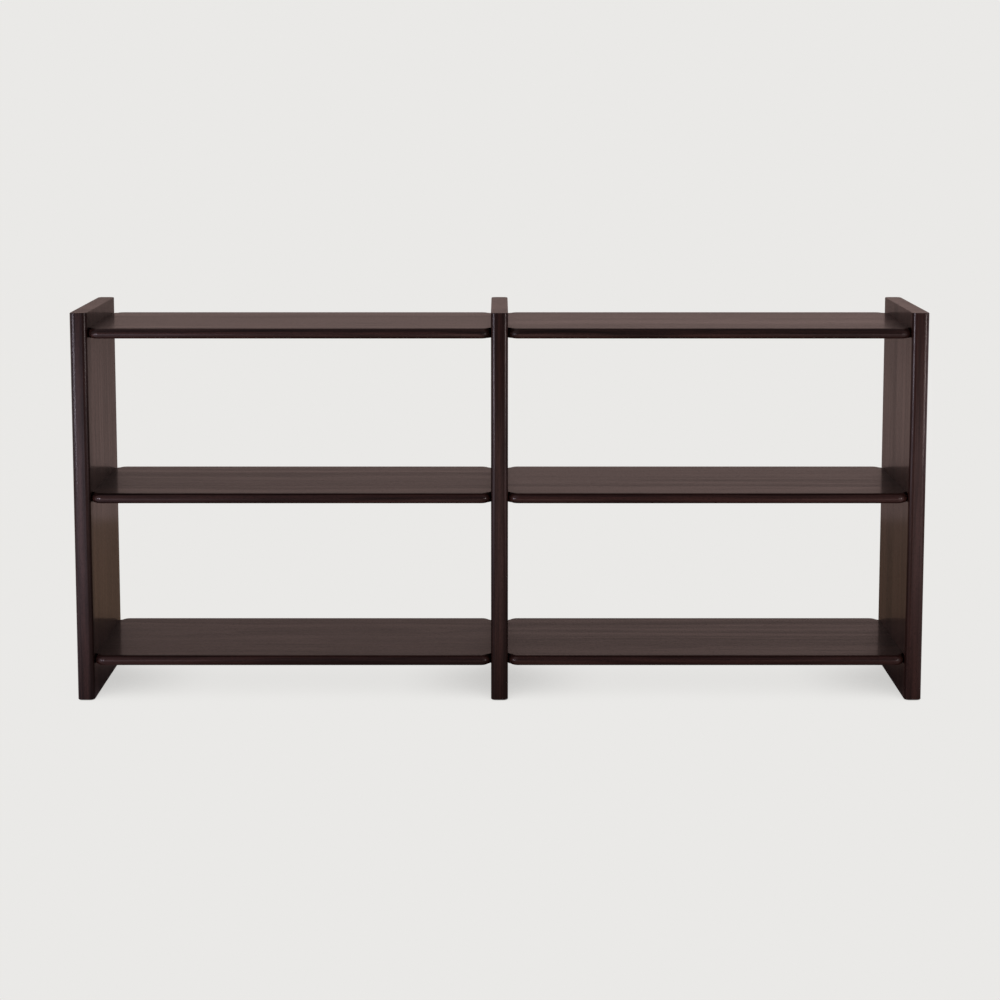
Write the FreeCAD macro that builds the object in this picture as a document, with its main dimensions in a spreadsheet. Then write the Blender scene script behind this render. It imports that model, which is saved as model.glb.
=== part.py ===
import FreeCAD, Part
import math
import os
import Sketcher
from FreeCAD import Placement, Rotation, Vector

# Open shelving unit of two bays, free-standing. Three full-depth uprights carry six shelves, three in
# each bay. Every shelf end is aligned by two dowels and drawn tight against its upright by two
# connecting bolts, whose heads are held by cam locks in the underside of the shelf.
#
# Frame, in millimetres: X runs along the width, with the left bay on the -X side, the front looks
# along -Y, and Z is up from the floor. The origin is on the floor under the middle of the unit.

doc = FreeCAD.newDocument("OpenShelvingUnit")
sheet = doc.addObject("Spreadsheet::Sheet", "Sizes")

# The driving dimensions: alias, value in millimetres, meaning.
SIZES = (
    ("unit_depth", 360, "front to back, uprights and shelves alike"),
    ("upright_thickness", 40, "each upright, across its two flat faces"),
    ("upright_crown", 0.5, "rise of the crown on the front and back edges of an upright"),
    ("upright_edge_radius", 11, "round between the crown and the flat faces"),
    ("upright_arris", 1, "small bevel round the top and the foot of an upright"),
    ("upright_rise", 37, "how far the uprights stand above the top shelves"),
    ("shelf_length", 940, "clear width of one bay"),
    ("shelf_thickness", 24, "each shelf"),
    ("shelf_pitch", 390, "from one shelf to the next"),
    ("lowest_shelf_level", 108, "top face of the bottom shelves above the floor"),
    ("shelf_corner_radius", 25, "round corner of a shelf in plan"),
    ("bullnose_land", 0.4, "flat left at the middle of the full bullnose"),
    ("bullnose_stop", 35, "from the front or back of a shelf to where the bullnose stops on its end"),
    ("runout_margin", 1, "how far the run-out of the bullnose reaches past its inner border"),
    ("bolt_spread", 192, "between the two bolts of a shelf end"),
    ("dowel_spread", 256, "between the two dowels of a shelf end"),
    ("cam_setback", 34, "axis of a cam lock from the shelf end"),
    ("cam_bore", 15, "diameter of the bore that takes a cam lock"),
    ("cam_clearance", 0.1, "play of a cam lock all round and at the bottom of its bore"),
    ("cam_recess", 0.2, "how deep the face of a cam lock lies in the underside of the shelf"),
    ("cam_flange", 1, "cap of a cam lock over its cavity"),
    ("driver_slot_length", 8, "cross recess of a cam lock"),
    ("driver_slot_width", 1.8, "cross recess of a cam lock"),
    ("driver_slot_depth", 2.5, "cross recess of a cam lock"),
    ("arrow_length", 1.8, "mark on the face of a cam lock, which points at its mouth"),
    ("arrow_width", 2.4, "mark on the face of a cam lock"),
    ("arrow_depth", 0.5, "mark on the face of a cam lock"),
    ("arrow_margin", 0.8, "from the mark to the rim of a cam lock"),
    ("bolt_bore", 8, "diameter of the way for a bolt through the boards"),
    ("bolt_shank", 7, "diameter of a connecting bolt"),
    ("bolt_neck", 5, "diameter of the neck that passes through the wall of a cam lock"),
    ("bolt_head", 7, "diameter of the head that a cam lock holds"),
    ("bolt_head_length", 3, "along the bolt"),
    ("bolt_head_inset", 1, "from the end of the head to the axis of the cam lock"),
    ("bolt_thread", 6, "outer diameter of the thread, whose turns are left out"),
    ("neck_spare", 2.5, "how far the neck reaches out of the bore of the cam lock"),
    ("head_clearance", 0.3, "play of the head and the neck in the cam lock"),
    ("insert_diameter", 10, "threaded insert in an end upright"),
    ("insert_length", 12, "threaded insert in an end upright"),
    ("dowel_diameter", 8, "hardwood dowel"),
    ("dowel_length", 36, "hardwood dowel"),
    ("dowel_in_upright", 12, "length of a dowel that sits in the upright"),
    ("dowel_bevel", 1, "bevelled ends of a dowel"),
    ("glide_height", 2, "visible thickness of a glide under the upright"),
    ("glide_diameter", 20, "glide"),
    ("glide_setback", 30, "axis of a glide from the front or the back"),
    ("glide_round", 0.8, "rounded rim of a glide"),
    ("glide_stub", 4, "diameter of the stub that is driven into the upright"),
    ("glide_stub_length", 12, "stub of a glide"),
    ("fit_clearance", 0.05, "play all round dowels, inserts, threads and stubs in their bores"),
    ("bore_spare", 1, "how much deeper a blind bore is than what it holds"),
    ("overrun", 2, "how far a cut runs past a surface that it opens"),
)

for row, (alias, size, meaning) in enumerate(SIZES, start=1):
    sheet.set(f"A{row}", meaning)
    sheet.set(f"B{row}", str(size))
    sheet.setAlias(f"B{row}", alias)
doc.recompute()

# The bays, shelf levels and rows of fittings, with the side of the middle on which each lies.
BAYS = {"left": -1, "right": 1}
LEVELS = ("bottom", "middle", "top")
ROWS = {"front": -1, "back": 1}

# Sizes and places worked out from the driving dimensions, as expressions.
LEVEL_SPAN = f"{len(LEVELS) - 1} * Sizes.shelf_pitch"
UPRIGHT_HEIGHT = f"Sizes.lowest_shelf_level + {LEVEL_SPAN} + Sizes.upright_rise - Sizes.glide_height"
CROWN_RADIUS = "((Sizes.upright_thickness / 2)^2 + Sizes.upright_crown^2) / (2 * Sizes.upright_crown)"
LOWEST_AXIS = "Sizes.lowest_shelf_level - Sizes.shelf_thickness / 2"
LOWEST_AXIS_ON_UPRIGHT = f"{LOWEST_AXIS} - Sizes.glide_height"
BAY_CENTRE = "(Sizes.upright_thickness + Sizes.shelf_length) / 2"
END_UPRIGHT_CENTRE = "Sizes.upright_thickness + Sizes.shelf_length"
JOINT_FACE = "Sizes.upright_thickness / 2"
SHELF_END = "Sizes.shelf_length / 2"
BULLNOSE_RADIUS = "(Sizes.shelf_thickness - Sizes.bullnose_land) / 2"
RUNOUT_RADIUS = f"{BULLNOSE_RADIUS} + Sizes.runout_margin"
GLIDE_SPREAD = "Sizes.unit_depth - 2 * Sizes.glide_setback"
CAM_DIAMETER = "Sizes.cam_bore - 2 * Sizes.cam_clearance"
CAM_FACE = "Sizes.shelf_thickness / 2 - Sizes.cam_recess"
HEAD_CAVITY = "Sizes.bolt_head + 2 * Sizes.head_clearance"
HEAD_MOUTH = "Sizes.bolt_head + Sizes.head_clearance"
NECK_SLOT = "Sizes.bolt_neck + 2 * Sizes.head_clearance"
CAVITY_RADIUS = (
    "(sqrt((Sizes.bolt_head_inset + Sizes.bolt_head_length)^2 + (Sizes.bolt_head / 2)^2)"
    " + Sizes.head_clearance)"
)
CAM_TOP = f"({HEAD_CAVITY}) / 2 + Sizes.cam_flange"
THREAD_LENGTH = "Sizes.insert_length - Sizes.bore_spare"
SHANK_IN_SHELF = "Sizes.cam_setback - Sizes.cam_bore / 2 - Sizes.neck_spare"
NECK_LENGTH = "Sizes.cam_bore / 2 + Sizes.neck_spare - Sizes.bolt_head_inset - Sizes.bolt_head_length"

# Sketcher's numbers for the points of an item, and for a sketch's own axes and origin.
START, END, CENTRE = 1, 2, 3
H_AXIS, V_AXIS = -1, -2
ORIGIN = (H_AXIS, START)

QUARTER_TURN = 90
HALF_TURN = 180
FULL_TURN = 360


def value(expression):
    """The present value of an expression on the sheet."""
    return float(sheet.evalExpression(expression))


def new_body(node):
    body = doc.addObject("PartDesign::Body", node)
    body.Label = node
    return body


def datum(body, role):
    """A plane or an axis of the body's own origin."""
    return next(item for item in body.Origin.OriginFeatures if item.Role == role)


def new_sketch(body, name, role, out=None, along=None, up=None, turn=0):
    """A sketch on one of the body's origin planes.

    It is moved along and up the plane and out along its normal, by expressions, and then turned about
    that normal.
    """
    sketch = body.newObject("Sketcher::SketchObject", name)
    sketch.AttachmentSupport = [(datum(body, role), "")]
    sketch.MapMode = "FlatFace"
    sketch.AttachmentOffset = Placement(Vector(), Rotation(Vector(0, 0, 1), turn))
    for letter, distance in zip("xyz", (along, up, out)):
        if distance:
            sketch.setExpression(f"AttachmentOffset.Base.{letter}", distance)
    return sketch


def hold(sketch, kind, *items, size=None):
    """Adds a constraint, bound to the sheet where it has a size."""
    if size is None:
        sketch.addConstraint(Sketcher.Constraint(kind, *items))
        return
    number = sketch.addConstraint(Sketcher.Constraint(kind, *items, value(size)))
    sketch.setExpression(f"Constraints[{number}]", size)


def closed_lines(sketch, points):
    """Straight lines round a closed outline, joined at their ends; returns their numbers."""
    vectors = [Vector(x, y, 0) for x, y in points]
    lines = [
        sketch.addGeometry(Part.LineSegment(a, b)) for a, b in zip(vectors, vectors[1:] + vectors[:1])
    ]
    for line, following in zip(lines, lines[1:] + lines[:1]):
        hold(sketch, "Coincident", line, END, following, START)
    return lines


def rectangle(sketch, width, height):
    """A rectangle centred on the sketch's origin."""
    half_w, half_h = value(width) / 2, value(height) / 2
    corners = [(-half_w, -half_h), (half_w, -half_h), (half_w, half_h), (-half_w, half_h)]
    below, right, above, left = closed_lines(sketch, corners)
    for line in (below, above):
        hold(sketch, "Horizontal", line)
    for line in (right, left):
        hold(sketch, "Vertical", line)
    hold(sketch, "Symmetric", below, START, above, START, *ORIGIN)
    hold(sketch, "DistanceX", below, START, below, END, size=width)
    hold(sketch, "DistanceY", right, START, right, END, size=height)


def rounded_rectangle(sketch, width, height, radius):
    """A rectangle with round corners, centred on the sketch's origin."""
    half_w, half_h, corner = value(width) / 2, value(height) / 2, value(radius)
    flat_w, flat_h = half_w - corner, half_h - corner
    runs = (
        ((-flat_w, -half_h), (flat_w, -half_h)),
        ((half_w, -flat_h), (half_w, flat_h)),
        ((flat_w, half_h), (-flat_w, half_h)),
        ((-half_w, flat_h), (-half_w, -flat_h)),
    )
    centres = ((flat_w, -flat_h), (flat_w, flat_h), (-flat_w, flat_h), (-flat_w, -flat_h))
    lines = [sketch.addGeometry(Part.LineSegment(Vector(*a, 0), Vector(*b, 0))) for a, b in runs]
    quarter = math.radians(QUARTER_TURN)
    arcs = []
    for step, (x, y) in enumerate(centres):
        circle = Part.Circle(Vector(x, y, 0), Vector(0, 0, 1), corner)
        arcs.append(sketch.addGeometry(Part.ArcOfCircle(circle, (step - 1) * quarter, step * quarter)))
    for step, arc in enumerate(arcs):
        hold(sketch, "Tangent", lines[step], END, arc, START)
        hold(sketch, "Tangent", arc, END, lines[(step + 1) % len(lines)], START)
    below, right, above, left = lines
    for line in (below, above):
        hold(sketch, "Horizontal", line)
    for line in (right, left):
        hold(sketch, "Vertical", line)
    for arc in arcs[1:]:
        hold(sketch, "Equal", arcs[0], arc)
    hold(sketch, "Radius", arcs[0], size=radius)
    hold(sketch, "Symmetric", below, START, above, START, *ORIGIN)
    hold(sketch, "DistanceX", left, START, right, START, size=width)
    hold(sketch, "DistanceY", below, START, above, START, size=height)


def circle_pair(sketch, diameter, spread, level=None):
    """Two equal circles at one level, mirror images across the sketch's vertical axis."""
    half, radius = value(spread) / 2, value(diameter) / 2
    height = value(level) if level else 0
    near, far = (
        sketch.addGeometry(Part.Circle(Vector(x, height, 0), Vector(0, 0, 1), radius))
        for x in (half, -half)
    )
    hold(sketch, "Equal", near, far)
    hold(sketch, "Symmetric", near, CENTRE, far, CENTRE, V_AXIS)
    hold(sketch, "DistanceX", far, CENTRE, near, CENTRE, size=spread)
    hold(sketch, "Diameter", near, size=diameter)
    if level:
        hold(sketch, "DistanceY", *ORIGIN, near, CENTRE, size=level)
    else:
        hold(sketch, "PointOnObject", near, CENTRE, H_AXIS)


def turned_profile(sketch, steps):
    """Half the outline of a turned piece, from the sketch's origin along its horizontal axis.

    Each step is the expression of its length and that of its diameter.
    """
    points = [(0, 0)]
    reach = 0
    for length, diameter in steps:
        points.append((reach, value(diameter) / 2))
        reach += value(length)
        points.append((reach, value(diameter) / 2))
    points.append((reach, 0))
    lines = closed_lines(sketch, points)
    for number, line in enumerate(lines[:-1]):
        hold(sketch, "Horizontal" if number % 2 else "Vertical", line)
    hold(sketch, "Coincident", lines[0], START, *ORIGIN)
    hold(sketch, "PointOnObject", lines[-1], START, H_AXIS)
    for (length, diameter), line in zip(steps, lines[1::2]):
        hold(sketch, "DistanceX", line, START, line, END, size=length)
        hold(sketch, "DistanceY", *ORIGIN, line, START, size=f"({diameter}) / 2")


def add_feature(body, kind, name, profile):
    feature = body.newObject(f"PartDesign::{kind}", name)
    feature.Profile = profile
    body.Tip = feature
    return feature


def pad(body, name, profile, length, side="along"):
    """A pad along the sketch's normal, against it, or half to each side."""
    feature = add_feature(body, "Pad", name, profile)
    feature.SideType = "Symmetric" if side == "both" else "One side"
    feature.Reversed = side == "against"
    feature.setExpression("Length", length)
    return feature


def pocket(body, name, profile, length, side="against"):
    """A pocket against the sketch's normal, along it, or half to each side."""
    feature = add_feature(body, "Pocket", name, profile)
    feature.SideType = "Symmetric" if side == "both" else "One side"
    feature.Reversed = side == "along"
    feature.setExpression("Length", length)
    return feature


def mirrored(body, originals, role):
    """Mirror images of features across one of the body's origin planes."""
    feature = body.newObject("PartDesign::Mirrored", "OtherSide")
    feature.Originals = originals
    feature.MirrorPlane = (datum(body, role), [""])
    body.Tip = feature


def at_every_level(body, originals):
    """Repeats features up the upright, once for each shelf."""
    feature = body.newObject("PartDesign::LinearPattern", "EveryLevel")
    feature.Originals = originals
    feature.Direction = (datum(body, "Z_Axis"), [""])
    feature.setExpression("Length", LEVEL_SPAN)
    feature.Occurrences = len(LEVELS)
    body.Tip = feature


def dress(body, kind, name, base, picks, size_name, size):
    """A fillet or a chamfer on picked edges, or round picked faces, of the feature before it."""
    feature = body.newObject(f"PartDesign::{kind}", name)
    feature.Base = (base, picks)
    feature.setExpression(size_name, size)
    body.Tip = feature
    doc.recompute()
    return feature


def runs_along(direction, letter):
    """Whether a direction lies closest to the named axis."""
    return abs(getattr(direction, letter)) == max(abs(part) for part in direction)


def flat_faces(shape, letter):
    """Names of the flat faces that are square to the named axis."""
    return [
        f"Face{number}"
        for number, face in enumerate(shape.Faces, start=1)
        if isinstance(face.Surface, Part.Plane) and runs_along(face.Surface.Axis, letter)
    ]


def corner_edges(shape):
    """Names of the straight edges that run up the corners."""
    return [
        f"Edge{number}"
        for number, edge in enumerate(shape.Edges, start=1)
        if isinstance(edge.Curve, Part.Line) and runs_along(edge.Curve.Direction, "z")
    ]


def place(body, x=None, y=None, z=None, turn=0):
    """Puts a body in the unit by expressions, turned about its own vertical axis."""
    body.Placement = Placement(Vector(), Rotation(Vector(0, 0, 1), turn))
    for letter, distance in zip("xyz", (x, y, z)):
        if distance:
            body.setExpression(f"Placement.Base.{letter}", distance)


# Each upright stands on its own frame: X across its thickness, Z up from its foot. The face towards the
# shelves is on the +X side, so the right upright is the left one turned half round. The fittings that
# an upright holds are drawn on the same frame and placed with it.
UPRIGHTS = {
    "left_upright": (f"-({END_UPRIGHT_CENTRE})", 0),
    "centre_upright": (None, 0),
    "right_upright": (END_UPRIGHT_CENTRE, HALF_TURN),
}


def place_with(body, upright):
    x, turn = UPRIGHTS[upright]
    place(body, x=x, z="Sizes.glide_height", turn=turn)


def upright_board(body):
    """A solid board on end, crowned along its front and back edges, with the bores for its glides."""
    outline = new_sketch(body, "Outline", "XY_Plane")
    half, crest = value("Sizes.upright_thickness") / 2, value("Sizes.unit_depth") / 2
    shoulder = crest - value("Sizes.upright_crown")
    front_right, back_right = Vector(half, -shoulder, 0), Vector(half, shoulder, 0)
    front_left, back_left = Vector(-half, -shoulder, 0), Vector(-half, shoulder, 0)
    right = outline.addGeometry(Part.LineSegment(front_right, back_right))
    back = outline.addGeometry(Part.Arc(back_right, Vector(0, crest, 0), back_left))
    left = outline.addGeometry(Part.LineSegment(back_left, front_left))
    front = outline.addGeometry(Part.Arc(front_left, Vector(0, -crest, 0), front_right))
    hold(outline, "Vertical", right)
    hold(outline, "Vertical", left)
    hold(outline, "Coincident", right, END, back, START)
    hold(outline, "Coincident", back, END, left, START)
    hold(outline, "Coincident", left, END, front, START)
    hold(outline, "Coincident", front, END, right, START)
    hold(outline, "Equal", back, front)
    hold(outline, "Symmetric", back, CENTRE, front, CENTRE, *ORIGIN)
    hold(outline, "PointOnObject", back, CENTRE, V_AXIS)
    hold(outline, "DistanceX", left, START, right, END, size="Sizes.upright_thickness")
    hold(outline, "Radius", back, size=CROWN_RADIUS)
    crown_centres = f"Sizes.unit_depth - 2 * ({CROWN_RADIUS})"
    hold(outline, "DistanceY", front, CENTRE, back, CENTRE, size=crown_centres)
    board = pad(body, "Board", outline, UPRIGHT_HEIGHT)
    doc.recompute()
    corners = corner_edges(board.Shape)
    rounds = dress(body, "Fillet", "Rounds", board, corners, "Radius", "Sizes.upright_edge_radius")
    ends = flat_faces(rounds.Shape, "z")
    dress(body, "Chamfer", "Arris", rounds, ends, "Size", "Sizes.upright_arris")

    stubs = new_sketch(body, "StubBores", "XY_Plane", turn=QUARTER_TURN)
    circle_pair(stubs, "Sizes.glide_stub + 2 * Sizes.fit_clearance", GLIDE_SPREAD)
    pocket(body, "StubPilots", stubs, "Sizes.glide_stub_length + Sizes.bore_spare", side="along")


def dowel_bores(body):
    """Blind bores for the dowels of the lowest shelf, in the face towards the shelves."""
    circles = new_sketch(body, "DowelBores", "YZ_Plane", out=JOINT_FACE)
    diameter = "Sizes.dowel_diameter + 2 * Sizes.fit_clearance"
    circle_pair(circles, diameter, "Sizes.dowel_spread", LOWEST_AXIS_ON_UPRIGHT)
    return pocket(body, "DowelSeats", circles, "Sizes.dowel_in_upright + Sizes.bore_spare")


def end_upright(node):
    """An outer upright, bored in its inner face for dowels and threaded inserts."""
    body = new_body(node)
    upright_board(body)
    dowels = dowel_bores(body)
    circles = new_sketch(body, "InsertBores", "YZ_Plane", out=JOINT_FACE)
    diameter = "Sizes.insert_diameter + 2 * Sizes.fit_clearance"
    circle_pair(circles, diameter, "Sizes.bolt_spread", LOWEST_AXIS_ON_UPRIGHT)
    inserts = pocket(body, "InsertSeats", circles, "Sizes.insert_length + Sizes.bore_spare")
    at_every_level(body, [dowels, inserts])
    place_with(body, node)


def centre_upright(node):
    """The middle upright, with the dowels of both bays in it and the double-ended bolts through it."""
    body = new_body(node)
    upright_board(body)
    near_dowels = dowel_bores(body)
    circles = new_sketch(body, "FarDowelBores", "YZ_Plane", out=f"-({JOINT_FACE})")
    diameter = "Sizes.dowel_diameter + 2 * Sizes.fit_clearance"
    circle_pair(circles, diameter, "Sizes.dowel_spread", LOWEST_AXIS_ON_UPRIGHT)
    depth = "Sizes.dowel_in_upright + Sizes.bore_spare"
    far_dowels = pocket(body, "FarDowelSeats", circles, depth, side="along")
    ways = new_sketch(body, "BoltBores", "YZ_Plane")
    circle_pair(ways, "Sizes.bolt_bore", "Sizes.bolt_spread", LOWEST_AXIS_ON_UPRIGHT)
    through = "Sizes.upright_thickness + 2 * Sizes.overrun"
    bolt_ways = pocket(body, "BoltWays", ways, through, side="both")
    at_every_level(body, [near_dowels, far_dowels, bolt_ways])
    place_with(body, node)


def shelf(node, bay, level):
    """A board with round corners in plan and a full bullnose along its front and back.

    The bullnose goes round the corners and runs out on the ends, which are square and flat between, where
    they meet the uprights. The origin is at the middle of the board. The left end is bored for its
    fittings, and the right end is its mirror image.
    """
    body = new_body(node)
    outline = new_sketch(body, "Outline", "XY_Plane")
    rounded_rectangle(outline, "Sizes.shelf_length", "Sizes.unit_depth", "Sizes.shelf_corner_radius")
    board = pad(body, "Board", outline, "Sizes.shelf_thickness", side="both")
    doc.recompute()
    faces = flat_faces(board.Shape, "z")
    dress(body, "Fillet", "Bullnose", board, faces, "Radius", BULLNOSE_RADIUS)

    square = new_sketch(body, "SquareOutline", "XY_Plane")
    between_runouts = f"Sizes.unit_depth - 2 * (Sizes.bullnose_stop - ({RUNOUT_RADIUS}))"
    rounded_rectangle(square, "Sizes.shelf_length", between_runouts, RUNOUT_RADIUS)
    pad(body, "SquareEnds", square, "Sizes.shelf_thickness", side="both")

    underside = "-Sizes.shelf_thickness / 2"
    seats = new_sketch(body, "CamBores", "XY_Plane", out=underside, turn=QUARTER_TURN)
    circle_pair(seats, "Sizes.cam_bore", "Sizes.bolt_spread", f"{SHELF_END} - Sizes.cam_setback")
    seat_depth = f"Sizes.shelf_thickness / 2 + {CAM_TOP} + Sizes.cam_clearance"
    cam_seats = pocket(body, "CamSeats", seats, seat_depth, side="along")

    ways = new_sketch(body, "BoltBores", "YZ_Plane", out=f"-({SHELF_END})")
    circle_pair(ways, "Sizes.bolt_bore", "Sizes.bolt_spread")
    bolt_ways = pocket(body, "BoltWays", ways, "Sizes.cam_setback", side="along")

    pegs = new_sketch(body, "DowelBores", "YZ_Plane", out=f"-({SHELF_END})")
    circle_pair(pegs, "Sizes.dowel_diameter + 2 * Sizes.fit_clearance", "Sizes.dowel_spread")
    peg_depth = "Sizes.dowel_length - Sizes.dowel_in_upright + Sizes.bore_spare"
    dowel_seats = pocket(body, "DowelSeats", pegs, peg_depth, side="along")

    mirrored(body, [cam_seats, bolt_ways, dowel_seats], "YZ_Plane")
    z = f"{LOWEST_AXIS} + {LEVELS.index(level)} * Sizes.shelf_pitch"
    place(body, x=f"{BAYS[bay]} * {BAY_CENTRE}", z=z)


def cam_lock(node, bay, level, end, row):
    """A die-cast drum that turns in the underside of a shelf and holds the head of a bolt.

    The origin is where the cam's vertical axis meets the axis of the bolt, which comes from the -X side.
    The cam is drawn locked. Its mouth, on the +X side, comes round to the bolt in half a turn.
    """
    body = new_body(node)
    rim = new_sketch(body, "Rim", "XZ_Plane", up=f"-({CAM_FACE})", turn=QUARTER_TURN)
    turned_profile(rim, [(f"{CAM_FACE} + {CAM_TOP}", CAM_DIAMETER)])
    drum = add_feature(body, "Revolution", "Drum", rim)
    drum.ReferenceAxis = (rim, ["H_Axis"])
    drum.Angle = FULL_TURN

    hollow = new_sketch(body, "Hollow", "YZ_Plane", along=f"-{CAVITY_RADIUS} / 2")
    rectangle(hollow, CAVITY_RADIUS, HEAD_CAVITY)
    cavity = add_feature(body, "Groove", "Cavity", hollow)
    cavity.ReferenceAxis = (datum(body, "Z_Axis"), [""])
    cavity.Angle = FULL_TURN

    # The slot starts inside the cavity and runs out past the rim. It covers the half turn, and as much
    # more at each end as the neck is wide at the inner wall.
    slot_start = f"{CAVITY_RADIUS} / 2"
    slot_end = f"({CAM_DIAMETER}) / 2 + Sizes.overrun"
    slit = new_sketch(body, "Slit", "YZ_Plane", along=f"-({slot_start} + {slot_end}) / 2")
    rectangle(slit, f"{slot_end} - {slot_start}", NECK_SLOT)
    neck_slot = add_feature(body, "Groove", "NeckSlot", slit)
    neck_slot.ReferenceAxis = (datum(body, "Z_Axis"), [""])
    neck_slot.Midplane = True
    slot_turn = f"{HALF_TURN} deg + 2 * asin(({NECK_SLOT}) / 2 / {CAVITY_RADIUS})"
    neck_slot.setExpression("Angle", slot_turn)

    mouth = new_sketch(body, "Mouth", "YZ_Plane")
    circle = mouth.addGeometry(Part.Circle(Vector(), Vector(0, 0, 1), value(HEAD_MOUTH) / 2))
    hold(mouth, "Coincident", circle, CENTRE, *ORIGIN)
    hold(mouth, "Diameter", circle, size=HEAD_MOUTH)
    pocket(body, "HeadMouth", mouth, slot_end, side="along")

    cross = new_sketch(body, "Cross", "XY_Plane", out=f"-({CAM_FACE})")
    rectangle(cross, "Sizes.driver_slot_length", "Sizes.driver_slot_width")
    blade = pocket(body, "DriverSlot", cross, "Sizes.driver_slot_depth", side="along")
    second = body.newObject("PartDesign::PolarPattern", "CrossSlot")
    second.Originals = [blade]
    second.Axis = (datum(body, "Z_Axis"), [""])
    second.Angle = QUARTER_TURN
    second.Occurrences = 2
    body.Tip = second

    # A triangle with its point towards the mouth, on the sketch's horizontal axis.
    tip_reach = f"({CAM_DIAMETER}) / 2 - Sizes.arrow_margin"
    arrow = new_sketch(body, "Arrow", "XY_Plane", out=f"-({CAM_FACE})")
    tip, half_width = value(tip_reach), value("Sizes.arrow_width") / 2
    base = tip - value("Sizes.arrow_length")
    first, back, last = closed_lines(arrow, [(tip, 0), (base, half_width), (base, -half_width)])
    hold(arrow, "Symmetric", back, START, back, END, H_AXIS)
    hold(arrow, "PointOnObject", first, START, H_AXIS)
    hold(arrow, "DistanceX", *ORIGIN, first, START, size=tip_reach)
    hold(arrow, "DistanceX", back, START, first, START, size="Sizes.arrow_length")
    hold(arrow, "DistanceY", back, END, back, START, size="Sizes.arrow_width")
    pocket(body, "ArrowMark", arrow, "Sizes.arrow_depth", side="along")

    # The outer end of a shelf is the one at an end upright.
    side = BAYS[bay] if end == "outer" else -BAYS[bay]
    x = f"{BAYS[bay]} * {BAY_CENTRE} + {side} * ({SHELF_END} - Sizes.cam_setback)"
    y = f"{ROWS[row]} * Sizes.bolt_spread / 2"
    z = f"{LOWEST_AXIS} + {LEVELS.index(level)} * Sizes.shelf_pitch"
    place(body, x=x, y=y, z=z, turn=HALF_TURN if side > 0 else 0)


def connecting_bolts(upright):
    """Turned steel bolts. Those of an end upright screw into its inserts. Those of the centre upright go
    through it and have a head at each end."""
    body = new_body(f"{upright}_bolts")
    neck, head = (NECK_LENGTH, "Sizes.bolt_neck"), ("Sizes.bolt_head_length", "Sizes.bolt_head")
    if upright == "centre_upright":
        shank = (f"Sizes.upright_thickness + 2 * ({SHANK_IN_SHELF})", "Sizes.bolt_shank")
        steps = [head, neck, shank, neck, head]
        start = f"-({JOINT_FACE} + Sizes.cam_setback - Sizes.bolt_head_inset)"
    else:
        thread = (THREAD_LENGTH, "Sizes.bolt_thread")
        shank = (SHANK_IN_SHELF, "Sizes.bolt_shank")
        steps = [thread, shank, neck, head]
        start = f"{JOINT_FACE} - ({THREAD_LENGTH})"
    half_spread = "Sizes.bolt_spread / 2"
    profile = new_sketch(
        body, "Profile", "XZ_Plane", out=half_spread, along=start, up=LOWEST_AXIS_ON_UPRIGHT
    )
    turned_profile(profile, steps)
    bolt = add_feature(body, "Revolution", "Bolt", profile)
    bolt.ReferenceAxis = (profile, ["H_Axis"])
    bolt.Angle = FULL_TURN
    rows = body.newObject("PartDesign::LinearPattern", "RowsAndLevels")
    rows.Originals = [bolt]
    rows.Direction = (datum(body, "Y_Axis"), [""])
    rows.setExpression("Length", "Sizes.bolt_spread")
    rows.Occurrences = len(ROWS)
    rows.Direction2 = (datum(body, "Z_Axis"), [""])
    rows.setExpression("Length2", LEVEL_SPAN)
    rows.Occurrences2 = len(LEVELS)
    body.Tip = rows
    place_with(body, upright)


def threaded_inserts(upright):
    """Brass sleeves, flush with the inner face of an end upright."""
    body = new_body(f"{upright}_inserts")
    rings = new_sketch(body, "Rings", "YZ_Plane", out=JOINT_FACE)
    bore = "Sizes.bolt_thread + 2 * Sizes.fit_clearance"
    circle_pair(rings, "Sizes.insert_diameter", "Sizes.bolt_spread", LOWEST_AXIS_ON_UPRIGHT)
    circle_pair(rings, bore, "Sizes.bolt_spread", LOWEST_AXIS_ON_UPRIGHT)
    sleeves = pad(body, "Sleeves", rings, "Sizes.insert_length", side="against")
    at_every_level(body, [sleeves])
    place_with(body, upright)


def dowels(upright):
    """Hardwood dowels with bevelled ends, half in the upright and half in the shelves."""
    body = new_body(f"{upright}_dowels")
    circles = new_sketch(body, "Circles", "YZ_Plane", out=f"{JOINT_FACE} - Sizes.dowel_in_upright")
    circle_pair(circles, "Sizes.dowel_diameter", "Sizes.dowel_spread", LOWEST_AXIS_ON_UPRIGHT)
    pegs = pad(body, "Pegs", circles, "Sizes.dowel_length")
    doc.recompute()
    ends = flat_faces(pegs.Shape, "x")
    dress(body, "Chamfer", "Bevels", pegs, ends, "Size", "Sizes.dowel_bevel")
    if upright == "centre_upright":
        mirrored(body, [], "YZ_Plane")
        body.Tip.TransformMode = "Whole shape"
        doc.recompute()
    at_every_level(body, [])
    body.Tip.TransformMode = "Whole shape"
    place_with(body, upright)


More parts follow.
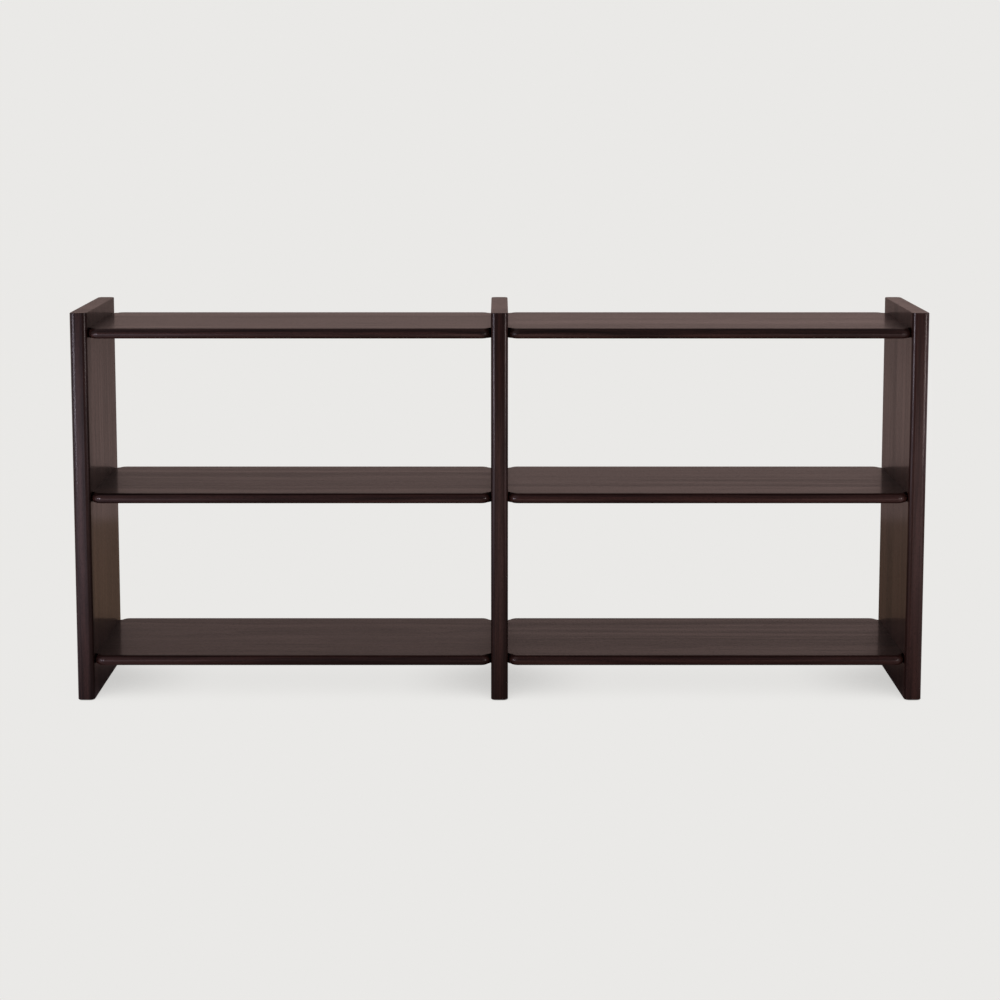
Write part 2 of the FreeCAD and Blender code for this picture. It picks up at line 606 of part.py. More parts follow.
def glides(upright):
    """Nylon discs under an upright, each with a stub driven up into it."""
    body = new_body(f"{upright}_glides")
    rims = new_sketch(body, "Rims", "XY_Plane", turn=QUARTER_TURN)
    circle_pair(rims, "Sizes.glide_diameter", GLIDE_SPREAD)
    discs = pad(body, "Discs", rims, "Sizes.glide_height", side="against")
    doc.recompute()
    lowest = discs.Shape.BoundBox.ZMin
    feet = [
        name for name in flat_faces(discs.Shape, "z")
        if discs.Shape.getElement(name).BoundBox.ZMax < lowest / 2
    ]
    dress(body, "Fillet", "SoftRims", discs, feet, "Radius", "Sizes.glide_round")
    stubs = new_sketch(body, "Stubs", "XY_Plane", turn=QUARTER_TURN)
    circle_pair(stubs, "Sizes.glide_stub", GLIDE_SPREAD)
    pad(body, "DrivenStubs", stubs, "Sizes.glide_stub_length")
    place_with(body, upright)


end_upright("left_upright")
centre_upright("centre_upright")
end_upright("right_upright")
for bay in BAYS:
    for level in LEVELS:
        shelf(f"{bay}_{level}_shelf", bay, level)
        for end in ("outer", "inner"):
            for row in ROWS:
                cam_lock(f"{bay}_{level}_{end}_{row}_cam", bay, level, end, row)
for upright in UPRIGHTS:
    connecting_bolts(upright)
    dowels(upright)
    glides(upright)
for upright in ("left_upright", "right_upright"):
    threaded_inserts(upright)
doc.recompute()

# Nothing is written unless every feature is sound and every cut has taken material away.
for item in doc.Objects:
    if {"Invalid", "Error"} & set(item.State):
        raise RuntimeError(f"{item.Label} of {item.getParentGeoFeatureGroup()} failed: {item.State}")
bodies = [item for item in doc.Objects if item.TypeId == "PartDesign::Body"]
for body in bodies:
    if body.Shape.isNull() or not body.Shape.isValid():
        raise RuntimeError(f"{body.Label} has no valid shape")
    for feature in body.Group:
        if feature.TypeId in ("PartDesign::Pocket", "PartDesign::Groove"):
            if not feature.Shape.Volume < feature.BaseFeature.Shape.Volume:
                raise RuntimeError(f"{feature.Label} of {body.Label} cuts nothing")

os.makedirs("parts", exist_ok=True)
for body in bodies:
    body.Shape.exportStep(f"parts/{body.Label}.step")
    print(body.Label, len(body.Shape.Solids), "solids,", round(body.Shape.Volume), "cubic mm")
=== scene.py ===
import math

import bmesh
import bpy
from mathutils import Euler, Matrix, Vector


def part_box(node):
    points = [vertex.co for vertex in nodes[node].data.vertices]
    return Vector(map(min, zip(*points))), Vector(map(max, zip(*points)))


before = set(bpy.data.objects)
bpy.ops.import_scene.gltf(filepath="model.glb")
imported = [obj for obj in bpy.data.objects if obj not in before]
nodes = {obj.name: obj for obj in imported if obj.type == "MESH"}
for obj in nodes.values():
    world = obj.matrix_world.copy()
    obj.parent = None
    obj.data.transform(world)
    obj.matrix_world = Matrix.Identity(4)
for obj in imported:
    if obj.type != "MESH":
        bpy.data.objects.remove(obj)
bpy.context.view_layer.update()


# The camera
# It stands centred before the unit and above it, and looks a little down. Part of the drop comes
# from the lens shift and the rest from the tilt, so the uprights stay close to vertical in the
# picture.
EYE_DISTANCE = 4.926
EYE_HEIGHT = 1.459
LOOK_DOWN = math.radians(6.333)
LENS_MM = 74.08
LENS_SHIFT_SIDE = 0.0005
LENS_SHIFT_UP = -0.19

view = bpy.data.cameras.new("view")
view.lens = LENS_MM
view.shift_x = LENS_SHIFT_SIDE
view.shift_y = LENS_SHIFT_UP
viewer = bpy.data.objects.new("viewer", view)
viewer.location = (0, -EYE_DISTANCE, EYE_HEIGHT)
viewer.rotation_euler = (math.radians(90) - LOOK_DOWN, 0, 0)
bpy.context.scene.collection.objects.link(viewer)
bpy.context.scene.camera = viewer


# The studio
# A pale floor runs seamlessly into a pale backdrop. What the varnish mirrors is a dimmer, warmer
# room: a glowing wall behind the unit, a fainter glow over it and in front, a brown floor that is
# brightest in front of the unit, and gloom.
PALE = (0.823, 0.815, 0.799, 1)
WALL_GLOW = (0.735, 0.53, 0.487, 1)
FRONT_GLOW = (0.46, 0.36, 0.38, 1)
ROOM_GLOOM = (0.044, 0.036, 0.036, 1)
FLOOR_CENTRE = (2.25, 1.48, 1.36, 1)
FLOOR_MIDDLE = (1.06, 0.68, 0.625, 1)
FLOOR_LEFT = (2.70, 2.20, 2.50, 1)
FLOOR_RIGHT = (3.35, 2.40, 2.40, 1)
FLOOR_FAR_SIDES = (2.00, 1.65, 1.80, 1)
FLOOR_FAR_FRONT = (0.45, 0.35, 0.35, 1)
FLOOR_BEHIND = (0.38, 0.245, 0.172, 1)
WALL_FOOT = (0.69, 0.49, 0.45, 1)

# Ramps over the direction of a mirrored ray: its X, Y or Z at the start and at the end, and what
# the ramp gives there if that isn't 0 and 1.
WALL_AWAY = (0.25, 0.70)
WALL_UP = (0.95, 0.20)
FRONT_AWAY = (0.90, 0.40)
FRONT_UP = (-0.10, 0.12)
FRONT_ON_THE_LEFT = (0.10, -0.35, 0.6, 2.0)
FRONT_ON_THE_RIGHT = (0.0, 0.40, 0.6, 1.1)
ROOM_ACROSS = (-0.5, 0.5, 0.86, 1.08)

# Ramps over the floor, in metres from the middle of the unit: aside on X, away on Y.
LEFT_TO_RIGHT_ASIDE = (-0.1, 0.1)
CENTRE_TO_MIDDLE_ASIDE = (0.12, 0.35)
MIDDLE_TO_SIDES_ASIDE = (0.60, 1.50)
SIDES_TO_GLOOM_ASIDE = (2.9, 3.3)
CENTRE_AWAY = (-0.3, -0.9, 0.65, 1.0)
MIDDLE_AWAY = (-1.2, -2.2, 1.15, 0.6)
NEAR_AWAY = (-0.2, -1.8, 0.42, 1.0)
FAR_AWAY = (-5.6, -3.0, 0.05, 1.0)
FAR_FRONT_AWAY = (-8.0, -10.0)
BEHIND_AWAY = (0.0, 0.3)
WALL_DISTANCE = 1.85
WALL_EDGE = 0.06
WALL_FOOT_AWAY = (WALL_DISTANCE - WALL_EDGE, WALL_DISTANCE + WALL_EDGE)
LEVEL_ASIDE = (-1.2, 1.2, 1.18, 0.69)
LEVEL_AWAY = (4.5, 7.5, 0.93, 0.76)
ASIDE_TO_AWAY = (2.5, 4.5)
FAR_SIDES_ASIDE = (3.2, 4.2)
FAR_SIDES_AWAY = (2.6, 1.6)

# The floor reaches past every picture's edge. The soft shade on it is deeper beside an upright
# than in the middle of a bay.
FLOOR_HALF_WIDTH = 40
SHADE_SAMPLES = 16
SHADE_REACH = 0.35
SHADE_FALLOFF = 4.5
SHADE_OPEN = 0.115
SHADE_BESIDE_UPRIGHT = 0.37
SHADE_SPREAD = 0.27

bpy.context.scene.view_settings.view_transform = "Standard"


def add_node(tree, kind, inputs=None, **settings):
    """A new node in the tree, with its settings made and its input sockets set or linked."""
    made = tree.nodes.new(kind)
    for name, setting in settings.items():
        setattr(made, name, setting)
    for name, source in (inputs or {}).items():
        if isinstance(source, bpy.types.NodeSocket):
            tree.links.new(source, made.inputs[name])
        else:
            made.inputs[name].default_value = source
    return made


def maths(tree, operation, *sources):
    """The output of a Math node that works on the given numbers and sockets."""
    return add_node(tree, "ShaderNodeMath", dict(enumerate(sources)), operation=operation).outputs[0]


def weighed(tree, *parts):
    """The sum of the sockets, each times its weight."""
    total = None
    for source, weight in parts:
        part = maths(tree, "MULTIPLY", source, weight)
        total = part if total is None else maths(tree, "ADD", total, part)
    return total


def ramp(tree, source, low, high, start=0.0, end=1.0):
    """A smooth change of the source: start up to low, end from high on."""
    inputs = {"Value": source, "From Min": low, "From Max": high, "To Min": start, "To Max": end}
    return add_node(
        tree, "ShaderNodeMapRange", inputs, interpolation_type="SMOOTHSTEP"
    ).outputs[0]


def mixed(tree, share, first, second, blend="MIX"):
    """The colour that lies at the given share of the way from the first to the second."""
    made = add_node(tree, "ShaderNodeMix", data_type="RGBA", blend_type=blend)
    sockets = (made.inputs[0], made.inputs[6], made.inputs[7])
    for socket, source in zip(sockets, (share, first, second)):
        if isinstance(source, bpy.types.NodeSocket):
            tree.links.new(source, socket)
        else:
            socket.default_value = source
    return made.outputs[2]


def times(tree, colour, level):
    """The colour made brighter or dimmer by the level."""
    return mixed(tree, 1.0, colour, level, "MULTIPLY")


def new_material(name):
    """A material with no nodes yet, and its node tree."""
    made = bpy.data.materials.new(name)
    made.use_nodes = True
    made.node_tree.nodes.clear()
    return made, made.node_tree


studio = bpy.data.worlds.new("studio")
studio.use_nodes = True
bpy.context.scene.world = studio
tree = studio.node_tree
tree.nodes.clear()
towards = add_node(tree, "ShaderNodeTexCoord").outputs["Generated"]
aside, away, up = add_node(tree, "ShaderNodeSeparateXYZ", {0: towards}).outputs
behind = maths(tree, "MULTIPLY", ramp(tree, away, *WALL_AWAY), ramp(tree, up, *WALL_UP))
in_front = maths(tree, "MULTIPLY", ramp(tree, away, *FRONT_AWAY), ramp(tree, up, *FRONT_UP))
on_the_left = ramp(tree, aside, *FRONT_ON_THE_LEFT)
on_the_right = ramp(tree, aside, *FRONT_ON_THE_RIGHT)
front = times(tree, FRONT_GLOW, maths(tree, "MAXIMUM", on_the_left, on_the_right))
glow = mixed(tree, in_front, ROOM_GLOOM, front)
glow = mixed(tree, behind, glow, WALL_GLOW)
glow = times(tree, glow, ramp(tree, aside, *ROOM_ACROSS))
seen = add_node(tree, "ShaderNodeLightPath").outputs["Is Camera Ray"]
light = add_node(tree, "ShaderNodeBackground", {"Color": mixed(tree, seen, glow, PALE)})
add_node(tree, "ShaderNodeOutputWorld", {"Surface": light.outputs[0]})

shape = bmesh.new()
bmesh.ops.create_grid(shape, x_segments=1, y_segments=1, size=FLOOR_HALF_WIDTH)
mesh = bpy.data.meshes.new("floor")
shape.to_mesh(mesh)
shape.free()
floor = bpy.data.objects.new("floor", mesh)
bpy.context.scene.collection.objects.link(floor)

pale_floor, tree = new_material("pale_floor")
here = add_node(tree, "ShaderNodeTexCoord").outputs["Object"]
aside, away = add_node(tree, "ShaderNodeSeparateXYZ", {0: here}).outputs[:2]
open_share = add_node(
    tree, "ShaderNodeAmbientOcclusion", {"Distance": SHADE_REACH}, samples=SHADE_SAMPLES
).outputs["AO"]
covered = maths(tree, "POWER", maths(tree, "SUBTRACT", 1.0, open_share), SHADE_FALLOFF)
half_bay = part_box("right_upright")[0].x / 2
from_upright = maths(tree, "PINGPONG", aside, half_bay)
depth = ramp(tree, from_upright, SHADE_SPREAD, 0.0, SHADE_OPEN, SHADE_BESIDE_UPRIGHT)
shaded = maths(tree, "SUBTRACT", 1.0, maths(tree, "MULTIPLY", covered, depth))
seen_light = add_node(tree, "ShaderNodeEmission", {"Color": PALE, "Strength": shaded})

from_middle = maths(tree, "ABSOLUTE", aside)
sides = mixed(tree, ramp(tree, aside, *LEFT_TO_RIGHT_ASIDE), FLOOR_LEFT, FLOOR_RIGHT)
centre = times(tree, FLOOR_CENTRE, ramp(tree, away, *CENTRE_AWAY))
middle = times(tree, FLOOR_MIDDLE, ramp(tree, away, *MIDDLE_AWAY))
glow = mixed(tree, ramp(tree, from_middle, *CENTRE_TO_MIDDLE_ASIDE), centre, middle)
glow = mixed(tree, ramp(tree, from_middle, *MIDDLE_TO_SIDES_ASIDE), glow, sides)
glow = mixed(tree, ramp(tree, from_middle, *SIDES_TO_GLOOM_ASIDE), glow, ROOM_GLOOM)
near_level = ramp(tree, away, *NEAR_AWAY)
far_level = ramp(tree, away, *FAR_AWAY)
glow = times(tree, glow, maths(tree, "MULTIPLY", near_level, far_level))
glow = mixed(tree, ramp(tree, away, *FAR_FRONT_AWAY), glow, FLOOR_FAR_FRONT)
glow = mixed(tree, ramp(tree, away, *BEHIND_AWAY), glow, FLOOR_BEHIND)
glow = mixed(tree, ramp(tree, away, *WALL_FOOT_AWAY), glow, WALL_FOOT)
level_aside = ramp(tree, aside, *LEVEL_ASIDE)
level_away = ramp(tree, away, *LEVEL_AWAY)
glow = times(tree, glow, mixed(tree, ramp(tree, away, *ASIDE_TO_AWAY), level_aside, level_away))
beside = ramp(tree, from_middle, *FAR_SIDES_ASIDE)
level_with = ramp(tree, maths(tree, "ABSOLUTE", away), *FAR_SIDES_AWAY)
glow = mixed(tree, maths(tree, "MULTIPLY", beside, level_with), glow, FLOOR_FAR_SIDES)
cast_light = add_node(tree, "ShaderNodeEmission", {"Color": glow, "Strength": open_share})
seen = add_node(tree, "ShaderNodeLightPath").outputs["Is Camera Ray"]
both = add_node(
    tree, "ShaderNodeMixShader", {0: seen, 1: cast_light.outputs[0], 2: seen_light.outputs[0]}
)
add_node(tree, "ShaderNodeOutputMaterial", {"Surface": both.outputs[0]})
pale_floor.cycles.emission_sampling = "NONE"
mesh.materials.append(pale_floor)

# On each side in front of the unit, a wide soft box and two narrow bright ones. Each has its place,
# its width and height, its colour and its radiance in watts per square metre and steradian.
LEFT_BOX = (1.0, 0.82, 0.92)
LEFT_STRIP = (0.95, 0.86, 1.0)
RIGHT_BOX = (1.0, 0.78, 0.77)
RIGHT_STRIP = (1.0, 0.84, 0.82)
for name, place, size, tint, radiance in (
    ("left_wide_box", (-1.82, -3.0, 0.24), (1.50, 0.5), LEFT_BOX, 1.25),
    ("left_near_strip", (-1.97, -2.50, 0.38), (0.20, 0.56), LEFT_STRIP, 45.0),
    ("left_outer_strip", (-2.95, -2.25, 0.38), (0.35, 0.56), LEFT_STRIP, 42.0),
    ("right_wide_box", (1.95, -3.0, 0.24), (1.45, 0.5), RIGHT_BOX, 0.75),
    ("right_near_strip", (2.05, -2.50, 0.38), (0.20, 0.56), RIGHT_STRIP, 12.0),
    ("right_outer_strip", (2.95, -2.25, 0.38), (0.35, 0.56), RIGHT_STRIP, 36.0),
):
    lamp = bpy.data.lights.new(name, "AREA")
    lamp.shape = "RECTANGLE"
    lamp.size, lamp.size_y = size
    lamp.energy = radiance * size[0] * size[1] * math.pi
    lamp.color = tint
    box = bpy.data.objects.new(name, lamp)
    box.location = place
    aim = Vector((0, 0, place[2])) - Vector(place)
    box.rotation_euler = aim.to_track_quat("-Z", "Y").to_euler()
    box.visible_camera = False
    bpy.context.scene.collection.objects.link(box)


# The three uprights
# Each is one solid board of stained hardwood from the floor to above the top shelf, glued up from
# staves, rounded over along its front and its back, and finished in a satin varnish. The shelves
# are bolted to its flat faces.
STAIN_DARK = (0.0033, 0.0014, 0.0012, 1)
STAIN_LIGHT = (0.021, 0.0085, 0.0066, 1)
STAIN_RUBBED = (0.055, 0.022, 0.016, 1)
PORE_BLACK = (0.0025, 0.0012, 0.001, 1)

# The wood's own sizes. The heart of its tree lies off each stave by chance, and the board step
# keeps the staves of one board from repeating in the next. A noise is given as the spots in a
# metre across and along the grain, its detail and its roughness.
STAVE_WIDTH = 0.09
HEART_ASIDE = (-0.10, 0.10)
HEART_DEPTH = (0.06, 0.22)
HEART_SLIDE = 9.0
BOARD_STEP = 37.0
RINGS_IN_A_METRE = 70.0
RING_BEND = 0.035
RING_DETAIL = 4.0
RING_ROUGHNESS = 0.65
RING_RAMP = (0.30, 0.70)
BEND_NOISE = (9, 1.6, 3.0)
FINE_FIBRES = (420, 7, 3.0, 0.62)
FINE_SHARE = 0.35
BROAD_FIBRES = (70, 4.5, 4.0, 0.65)
BROAD_SHARE = 0.65
PORE_NOISE = (2300, 130, 0.0)
PORE_RAMP = (0.60, 0.72)
RUB_REACH = 0.0015
RUB_SAMPLES = 4
RUB_AMOUNT = 0.3
RUB_BEND = (0.985, 0.80)
RUB_NOISE = (60, 25, 3.0)
RUB_RAMP = (0.35, 0.65)

# The finish: what a board's tone is made of, and the tones that its stain and varnish run between.
FIGURE_TONE = 0.35
FIBRE_TONE = 1.3
STAVE_TONE = 0.2
STAIN_TONES = (0.4, 1.25)
PORE_DEPTH = 0.8
VARNISH_TONES = (0.35, 1.3, 0.155, 0.335)
VARNISH_LOST_IN_PORES = 0.3
VARNISH_ROUGHNESS = 0.14
WOOD_ROUGHNESS = 0.42
FIBRE_ROUGHNESS = 0.16
PORE_ROUGHNESS = 0.12
WOOD_SHINE = 0.06
FIBRE_RELIEF = 0.5
PORE_RELIEF = -0.3
RELIEF_HEIGHT = 0.000005


def new_group(name, inputs, outputs):
    """An empty shader node group with named sockets, and its input and output sockets."""
    group = bpy.data.node_groups.new(name, "ShaderNodeTree")
    for socket, kind, default in inputs:
        made = group.interface.new_socket(socket, in_out="INPUT", socket_type=kind)
        if default is not None:
            made.default_value = default
    for socket in outputs:
        group.interface.new_socket(socket, in_out="OUTPUT", socket_type="NodeSocketFloat")
    given = group.nodes.new("NodeGroupInput").outputs
    return group, given, group.nodes.new("NodeGroupOutput").inputs


def stretched_noise(tree, place, across, along, detail=2.0, roughness=0.5):
    """Noise whose spots are 1/across wide and 1/along long, in metres, with the grain along Z."""
    density = (across, across, along)
    scaled = add_node(tree, "ShaderNodeVectorMath", {0: place, 1: density}, operation="MULTIPLY")
    inputs = {"Vector": scaled.outputs[0], "Scale": 1.0, "Detail": detail, "Roughness": roughness}
    return add_node(tree, "ShaderNodeTexNoise", inputs).outputs["Fac"]


def bumped(tree, height, distance):
    """The normal of a surface in relief, where a height of 1 stands the distance above 0."""
    inputs = {"Strength": 1.0, "Distance": distance, "Height": height}
    return add_node(tree, "ShaderNodeBump", inputs).outputs[0]


# The grain of a glued-up board: rings about a heart that lies off each stave, fibres and pores.
group, given, result = new_group(
    "hardwood_grain",
    [
        ("Place", "NodeSocketVector", None),
        ("Stave Width", "NodeSocketFloat", STAVE_WIDTH),
        ("Board Number", "NodeSocketFloat", 0.0),
    ],
    ["Figure", "Fibre", "Pores", "Stave"],
)
split = add_node(group, "ShaderNodeSeparateXYZ", {0: given["Place"]})
stave = maths(group, "FLOOR", maths(group, "DIVIDE", split.outputs["X"], given["Stave Width"]))
board_start = maths(group, "MULTIPLY", given["Board Number"], BOARD_STEP)
stave = maths(group, "ADD", stave, board_start)
chance = add_node(group, "ShaderNodeTexWhiteNoise", {"W": stave}, noise_dimensions="1D")
chances = add_node(group, "ShaderNodeSeparateXYZ", {0: chance.outputs["Color"]})
heart = add_node(
    group,
    "ShaderNodeCombineXYZ",
    {
        "X": ramp(group, chances.outputs["X"], 0.0, 1.0, *HEART_ASIDE),
        "Y": ramp(group, chances.outputs["Y"], 0.0, 1.0, *HEART_DEPTH),
        "Z": maths(group, "MULTIPLY", chances.outputs["Z"], HEART_SLIDE),
    },
).outputs[0]
from_heart = add_node(
    group, "ShaderNodeVectorMath", {0: given["Place"], 1: heart}, operation="ADD"
).outputs[0]
outwards = add_node(
    group, "ShaderNodeVectorMath", {0: from_heart, 1: (1, 1, 0)}, operation="MULTIPLY"
).outputs[0]
radius = add_node(
    group, "ShaderNodeVectorMath", {0: outwards}, operation="LENGTH"
).outputs["Value"]
waver = maths(group, "SUBTRACT", stretched_noise(group, from_heart, *BEND_NOISE), 0.5)
ring_place = maths(group, "ADD", radius, maths(group, "MULTIPLY", waver, RING_BEND))
ring_count = maths(group, "MULTIPLY", ring_place, RINGS_IN_A_METRE)
rings = add_node(
    group,
    "ShaderNodeTexNoise",
    {"W": ring_count, "Scale": 1.0, "Detail": RING_DETAIL, "Roughness": RING_ROUGHNESS},
    noise_dimensions="1D",
).outputs["Fac"]
fine = stretched_noise(group, from_heart, *FINE_FIBRES)
broad = stretched_noise(group, from_heart, *BROAD_FIBRES)
pores = ramp(group, stretched_noise(group, from_heart, *PORE_NOISE), *PORE_RAMP)
group.links.new(ramp(group, rings, *RING_RAMP), result["Figure"])
group.links.new(weighed(group, (fine, FINE_SHARE), (broad, BROAD_SHARE)), result["Fibre"])
group.links.new(pores, result["Pores"])
group.links.new(chance.outputs["Value"], result["Stave"])
hardwood_grain = group

# Rubbed edges: how far the surface bends away close by, broken up so that it isn't even.
group, given, result = new_group(
    "rubbed_edges",
    [
        ("Place", "NodeSocketVector", None),
        ("Reach", "NodeSocketFloat", RUB_REACH),
        ("Amount", "NodeSocketFloat", RUB_AMOUNT),
    ],
    ["Mask"],
)
rounded = add_node(group, "ShaderNodeBevel", {"Radius": given["Reach"]}, samples=RUB_SAMPLES)
plain = add_node(group, "ShaderNodeNewGeometry")
alike = add_node(
    group,
    "ShaderNodeVectorMath",
    {0: rounded.outputs["Normal"], 1: plain.outputs["Normal"]},
    operation="DOT_PRODUCT",
).outputs["Value"]
bent = ramp(group, alike, *RUB_BEND)
patchy = ramp(group, stretched_noise(group, given["Place"], *RUB_NOISE), *RUB_RAMP)
rubbed = maths(group, "MULTIPLY", maths(group, "MULTIPLY", bent, patchy), given["Amount"])
group.links.new(rubbed, result["Mask"])
rubbed_edges = group

# Turns a board's own directions into the grain's: X across its width, Y through it, Z along it.
ALONG_Z = (0, 0, math.radians(90))
ALONG_X = (math.radians(90), math.radians(90), 0)


def grain_place(tree, node, turn):
    """The place on a board, measured from its middle and turned so that Z runs along its grain."""
    low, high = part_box(node)
    middle = Euler(turn).to_matrix() @ ((low + high) / 2)
    here = add_node(tree, "ShaderNodeTexCoord").outputs["Object"]
    inputs = {"Vector": here, "Location": -middle, "Rotation": turn}
    return add_node(tree, "ShaderNodeMapping", inputs).outputs[0]


def stained_board(node, number, turn):
    """The dark stained, satin varnished hardwood of one board, whose grain the turn lays out."""
    material, tree = new_material(f"{node}_wood")
    place = grain_place(tree, node, turn)
    grain = add_node(tree, "ShaderNodeGroup", node_tree=hardwood_grain)
    tree.links.new(place, grain.inputs["Place"])
    grain.inputs["Board Number"].default_value = number
    wear = add_node(tree, "ShaderNodeGroup", node_tree=rubbed_edges)
    tree.links.new(place, wear.inputs["Place"])
    figure, fibre, pores, stave = grain.outputs

    own_shade = maths(tree, "SUBTRACT", stave, 0.5)
    tone = weighed(tree, (figure, FIGURE_TONE), (fibre, FIBRE_TONE), (own_shade, STAVE_TONE))
    colour = mixed(tree, ramp(tree, tone, *STAIN_TONES), STAIN_DARK, STAIN_LIGHT)
    colour = mixed(tree, maths(tree, "MULTIPLY", pores, PORE_DEPTH), colour, PORE_BLACK)
    colour = mixed(tree, wear.outputs["Mask"], colour, STAIN_RUBBED)

    unevenness = weighed(tree, (fibre, FIBRE_ROUGHNESS), (pores, PORE_ROUGHNESS))
    lost = maths(tree, "MULTIPLY", pores, VARNISH_LOST_IN_PORES)
    kept = maths(tree, "SUBTRACT", 1.0, lost)
    varnish = maths(tree, "MULTIPLY", ramp(tree, tone, *VARNISH_TONES), kept)
    relief = weighed(tree, (fibre, FIBRE_RELIEF), (pores, PORE_RELIEF))
    shader = add_node(
        tree,
        "ShaderNodeBsdfPrincipled",
        {
            "Base Color": colour,
            "Roughness": maths(tree, "ADD", WOOD_ROUGHNESS, unevenness),
            "Normal": bumped(tree, relief, RELIEF_HEIGHT),
            "Specular IOR Level": WOOD_SHINE,
            "Coat Weight": varnish,
            "Coat Roughness": VARNISH_ROUGHNESS,
        },
    )
    add_node(tree, "ShaderNodeOutputMaterial", {"Surface": shader.outputs[0]})
    return material


def dress(node, material):
    """The node's own material slots take the given finish."""
    nodes[node].data.materials.clear()
    nodes[node].data.materials.append(material)


for number, place in enumerate(("left", "centre", "right")):
    upright = f"{place}_upright"
    dress(upright, stained_board(upright, number, ALONG_Z))


# The six shelves
# Solid boards of the same wood with the grain along them. The front, the back and the corners are
# fully rounded, so only the flat middle of each end meets the upright, where two dowels align it
# and two cam locks draw it tight.
FIRST_SHELF_NUMBER = 5

number = FIRST_SHELF_NUMBER
for bay in ("left", "right"):
    for level in ("bottom", "middle", "top"):
        shelf = f"{bay}_{level}_shelf"
        dress(shelf, stained_board(shelf, number, ALONG_X))
        number += 1


# The threaded inserts
# Twelve bushes turned from brass, screwed into the inner faces of the two end uprights, take the
# bolts. They are left bare, so the brass is cloudy with handling and keeps the fine rings of the
# lathe.
BRASS = (0.56, 0.36, 0.13, 1)
BRASS_DULL = (0.30, 0.19, 0.085, 1)

# Worked metal: clouds where it has dulled, rings left by a tool that went round its Z, and a grit.
CLOUD_NOISE = (220, 220, 4.0, 0.6)
CLOUD_RAMP = (0.30, 0.70)
LATHE_NOISE = (40, 5200, 2.0)
GRIT_NOISE = (2600, 2600, 2.0)
METAL_RELIEF_HEIGHT = 0.00002
METAL_RUB_REACH = 0.0004
METAL_RUB_AMOUNT = 0.8
DULL_ROUGHNESS = 0.12

group, given, result = new_group(
    "worked_metal",
    [("Place", "NodeSocketVector", None)],
    ["Clouds", "Rings", "Grit"],
)
clouds = stretched_noise(group, given["Place"], *CLOUD_NOISE)
group.links.new(ramp(group, clouds, *CLOUD_RAMP), result["Clouds"])
group.links.new(stretched_noise(group, given["Place"], *LATHE_NOISE), result["Rings"])
group.links.new(stretched_noise(group, given["Place"], *GRIT_NOISE), result["Grit"])
worked_metal = group


def metal(name, bright, dull, roughness, rings, grit, turn):
    """Bare metal between a bright and a dull colour, with rings about the turned Z and a grit."""
    material, tree = new_material(name)
    here = add_node(tree, "ShaderNodeTexCoord").outputs["Object"]
    place = add_node(tree, "ShaderNodeMapping", {"Vector": here, "Rotation": turn}).outputs[0]
    work = add_node(tree, "ShaderNodeGroup", node_tree=worked_metal)
    tree.links.new(place, work.inputs["Place"])
    edges = add_node(tree, "ShaderNodeGroup", node_tree=rubbed_edges)
    tree.links.new(place, edges.inputs["Place"])
    edges.inputs["Reach"].default_value = METAL_RUB_REACH
    edges.inputs["Amount"].default_value = METAL_RUB_AMOUNT

    clean = maths(tree, "MAXIMUM", work.outputs["Clouds"], edges.outputs["Mask"])
    height = weighed(tree, (work.outputs["Rings"], rings), (work.outputs["Grit"], grit))
    inputs = {
        "Base Color": mixed(tree, clean, dull, bright),
        "Metallic": 1.0,
        "Roughness": ramp(tree, clean, 0.0, 1.0, roughness + DULL_ROUGHNESS, roughness),
        "Normal": bumped(tree, height, METAL_RELIEF_HEIGHT),
    }
    shader = add_node(tree, "ShaderNodeBsdfPrincipled", inputs)
    add_node(tree, "ShaderNodeOutputMaterial", {"Surface": shader.outputs[0]})
    return material


brass = metal(
    "turned_brass", BRASS, BRASS_DULL, roughness=0.26, rings=1.0, grit=0.2, turn=ALONG_X
)
for side in ("left", "right"):
    dress(f"{side}_upright_inserts", brass)


# The connecting bolts
# Twelve single ones screw into the brass inserts, and six double-ended ones pass through the
# centre upright. Each is turned steel under a thin coat of zinc, a little blue and cloudy.
ZINC_COAT = (0.60, 0.62, 0.65, 1)
ZINC_COAT_DULL = (0.36, 0.37, 0.38, 1)

zinc_coat = metal(
    "zinc_coated_steel", ZINC_COAT, ZINC_COAT_DULL, roughness=0.28, rings=0.7, grit=0.2, turn=ALONG_X
)
for place in ("left", "centre", "right"):
    dress(f"{place}_upright_bolts", zinc_coat)


# The dowels
# Short pins of plain beech, pale and unstained, pressed into the uprights and the shelf ends to
# hold the boards in line. The grain runs along them.
BEECH_DARK = (0.36, 0.205, 0.105, 1)
BEECH_LIGHT = (0.58, 0.385, 0.225, 1)
BEECH_FIGURE_TONE = 0.4
BEECH_FIBRE_TONE = 0.6
BEECH_PORE_TONE = -0.3
BEECH_TONES = (0.15, 0.8)
BEECH_ROUGHNESS = (0.75, 0.6)
BEECH_SHINE = 0.3
BEECH_RELIEF_HEIGHT = 0.00004


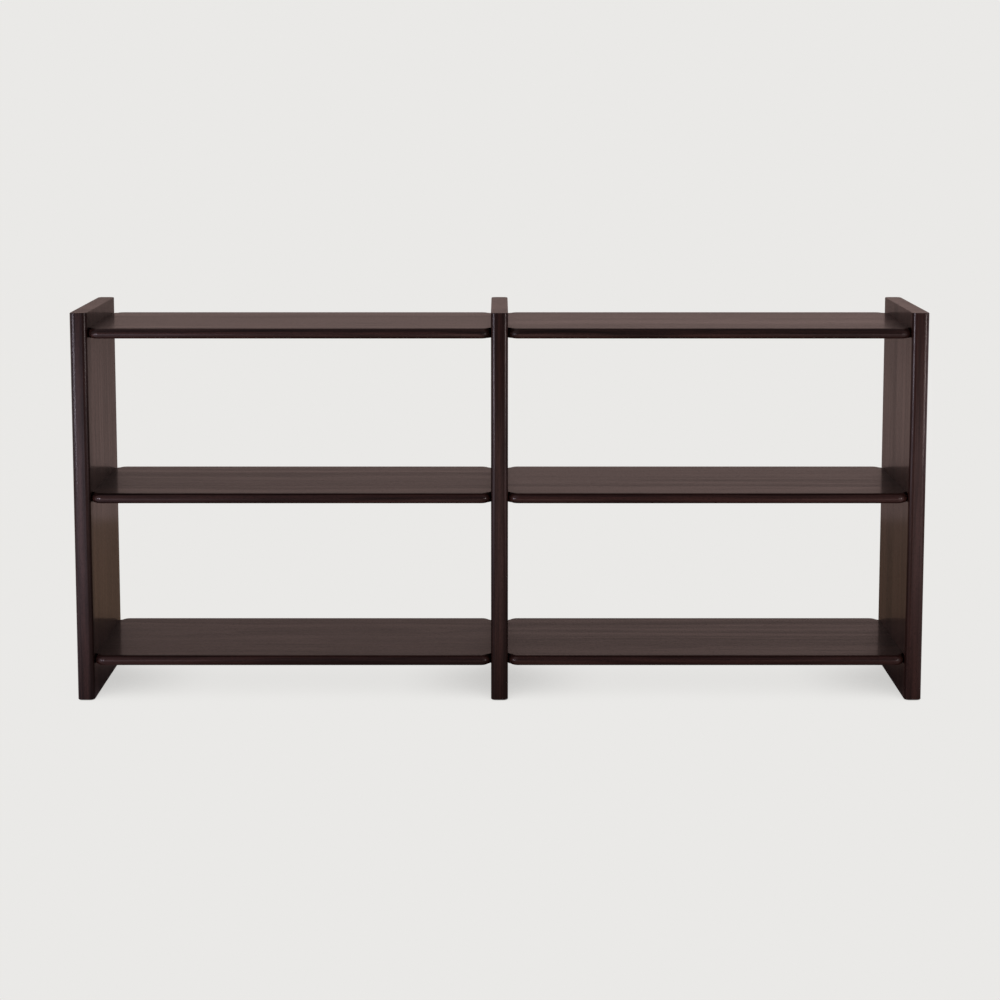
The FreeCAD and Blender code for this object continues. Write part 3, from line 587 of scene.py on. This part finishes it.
def beech(node):
    """Bare beech with its grain along X."""
    material, tree = new_material(f"{node}_wood")
    grain = add_node(tree, "ShaderNodeGroup", node_tree=hardwood_grain)
    tree.links.new(grain_place(tree, node, ALONG_X), grain.inputs["Place"])
    figure, fibre, pores = grain.outputs[:3]
    tone = weighed(
        tree,
        (figure, BEECH_FIGURE_TONE),
        (fibre, BEECH_FIBRE_TONE),
        (pores, BEECH_PORE_TONE),
    )
    inputs = {
        "Base Color": mixed(tree, ramp(tree, tone, *BEECH_TONES), BEECH_DARK, BEECH_LIGHT),
        "Roughness": ramp(tree, tone, 0.0, 1.0, *BEECH_ROUGHNESS),
        "Specular IOR Level": BEECH_SHINE,
        "Normal": bumped(tree, tone, BEECH_RELIEF_HEIGHT),
    }
    shader = add_node(tree, "ShaderNodeBsdfPrincipled", inputs)
    add_node(tree, "ShaderNodeOutputMaterial", {"Surface": shader.outputs[0]})
    return material


for place in ("left", "centre", "right"):
    pins = f"{place}_upright_dowels"
    dress(pins, beech(pins))


# The cam locks
# Four under each shelf, two at an end: short cylinders cast in zinc, with a driver slot below and
# a hooked groove that holds a bolt's head. The casting is grey and gritty, brighter where it rubs.
CAST_ZINC = (0.55, 0.55, 0.54, 1)
CAST_ZINC_DULL = (0.31, 0.31, 0.31, 1)
NO_TURN = (0, 0, 0)

cast_zinc = metal(
    "cast_zinc", CAST_ZINC, CAST_ZINC_DULL, roughness=0.34, rings=0.15, grit=1.0, turn=NO_TURN
)
for bay in ("left", "right"):
    for level in ("bottom", "middle", "top"):
        for corner in ("outer_front", "outer_back", "inner_front", "inner_back"):
            dress(f"{bay}_{level}_{corner}_cam", cast_zinc)


# The glides
# Two round nylon pads with a stub, pressed into the foot of each upright, keep the wood off the
# floor. They are moulded in dark brown, faintly mottled, and scuffed paler by the floor.
NYLON = (0.030, 0.018, 0.014, 1)
NYLON_SCUFFED = (0.085, 0.062, 0.052, 1)
NYLON_ROUGHNESS = (0.48, 0.58)
MOTTLE_NOISE = (700, 700, 3.0)
MOTTLE_RAMP = (0.3, 0.7)
SCUFF_NOISE = (320, 320, 4.0, 0.7)
SCUFF_RAMP = (0.5, 0.7)
SCUFF_HEIGHT = 0.001
NYLON_RELIEF_HEIGHT = 0.00002

nylon, tree = new_material("moulded_nylon")
here = add_node(tree, "ShaderNodeTexCoord").outputs["Object"]
mottle = ramp(tree, stretched_noise(tree, here, *MOTTLE_NOISE), *MOTTLE_RAMP)
scuffs = ramp(tree, stretched_noise(tree, here, *SCUFF_NOISE), *SCUFF_RAMP)
height = add_node(tree, "ShaderNodeSeparateXYZ", {0: here}).outputs["Z"]
scuffs = maths(tree, "MULTIPLY", scuffs, ramp(tree, height, SCUFF_HEIGHT, 0.0))
shader = add_node(
    tree,
    "ShaderNodeBsdfPrincipled",
    {
        "Base Color": mixed(tree, scuffs, NYLON, NYLON_SCUFFED),
        "Roughness": ramp(tree, mottle, 0.0, 1.0, *NYLON_ROUGHNESS),
        "Normal": bumped(tree, mottle, NYLON_RELIEF_HEIGHT),
    },
)
add_node(tree, "ShaderNodeOutputMaterial", {"Surface": shader.outputs[0]})
for place in ("left", "centre", "right"):
    dress(f"{place}_upright_glides", nylon)
